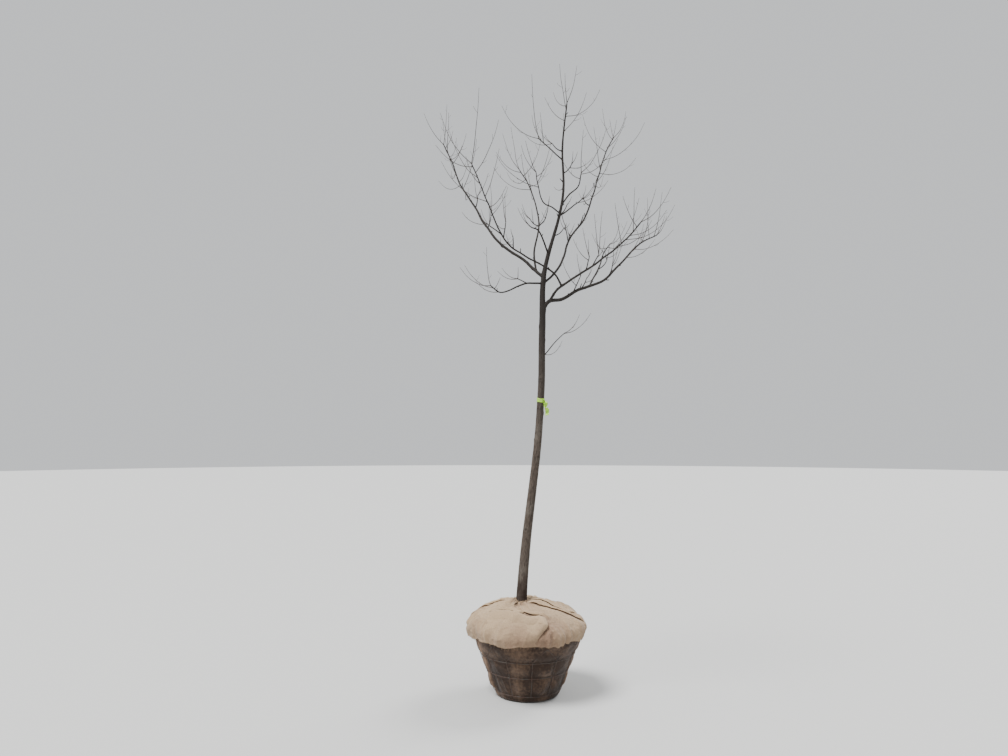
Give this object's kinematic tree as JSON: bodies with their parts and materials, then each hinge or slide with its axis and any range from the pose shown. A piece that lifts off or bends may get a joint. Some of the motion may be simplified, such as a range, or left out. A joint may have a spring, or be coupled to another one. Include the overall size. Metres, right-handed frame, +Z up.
{
  "type": "sapling with root ball",
  "caption": "Leafless young shade tree with upswept boughs and fine twigs, standing on its root ball in burlap, a wire basket and a burlap cap.",
  "frame": {"origin": "centre of the root ball's flat underside", "axes": "+Z up along the plant, +X to the right and -Y towards the viewer in the picture's view"},
  "size_m": [1.6639, 1.3094, 3.9772],
  "materials": {
    "soiled_burlap": "matte",
    "clean_burlap": "matte",
    "wire": "satin",
    "ribbon": "satin",
    "bark": "matte",
    "twig": "matte"
  },
  "bodies": {
    "root": {"root_ball": "soiled_burlap", "burlap_cap": "clean_burlap", "wire_basket": "wire", "marker_ribbon": "ribbon", "trunk": "bark", "crossing_bough": "bark", "inner_riser": "bark", "leader_left_branch": "bark", "leader_right_back_branch": "bark", "leader_right_branch": "bark", "leader_stub_branch": "bark", "leader_top_branch": "bark", "left_bough": "bark", "right_centre_bough": "bark", "right_inner_bough": "bark", "right_lower_bough": "bark", "right_upper_bough": "bark", "short_left_branch": "bark", "crossing_bough_outer_twigs": "twig", "crossing_bough_side_twigs_1": "twig", "crossing_bough_tip_twigs": "twig", "crossing_bough_upright_twigs": "twig", "inner_riser_side_twigs": "twig", "inner_riser_side_twigs_1": "twig", "inner_riser_tip_twigs": "twig", "leader_left_branch_tip_twigs": "twig", "leader_right_back_branch_tip_twigs": "twig", "leader_right_branch_tip_twigs": "twig", "leader_side_twigs_1": "twig", "leader_side_twigs_2": "twig", "leader_side_twigs_3": "twig", "leader_side_twigs_4": "twig", "leader_side_twigs_5": "twig", "leader_stub_branch_tip_twigs": "twig", "leader_tip_twigs": "twig", "leader_top_branch_tip_twigs": "twig", "left_bough_side_twigs_1": "twig", "left_bough_side_twigs_2": "twig", "left_bough_side_twigs_3": "twig", "left_bough_tip_twigs": "twig", "right_centre_bough_side_twigs_1": "twig", "right_centre_bough_side_twigs_2": "twig", "right_centre_bough_side_twigs_3": "twig", "right_centre_bough_tip_twigs": "twig", "right_centre_fork_twigs": "twig", "right_inner_bough_side_twigs_1": "twig", "right_inner_bough_tip_twigs": "twig", "right_lower_bough_side_twigs_1": "twig", "right_lower_bough_side_twigs_2": "twig", "right_lower_bough_tip_twigs": "twig", "right_lower_thin_twigs": "twig", "right_upper_bough_side_twigs_1": "twig", "right_upper_bough_tip_twigs": "twig", "right_upper_knob_twigs": "twig", "short_left_branch_tip_twigs": "twig", "short_left_fork_twigs": "twig", "trunk_side_twigs": "twig"}
  },
  "joints": []
}
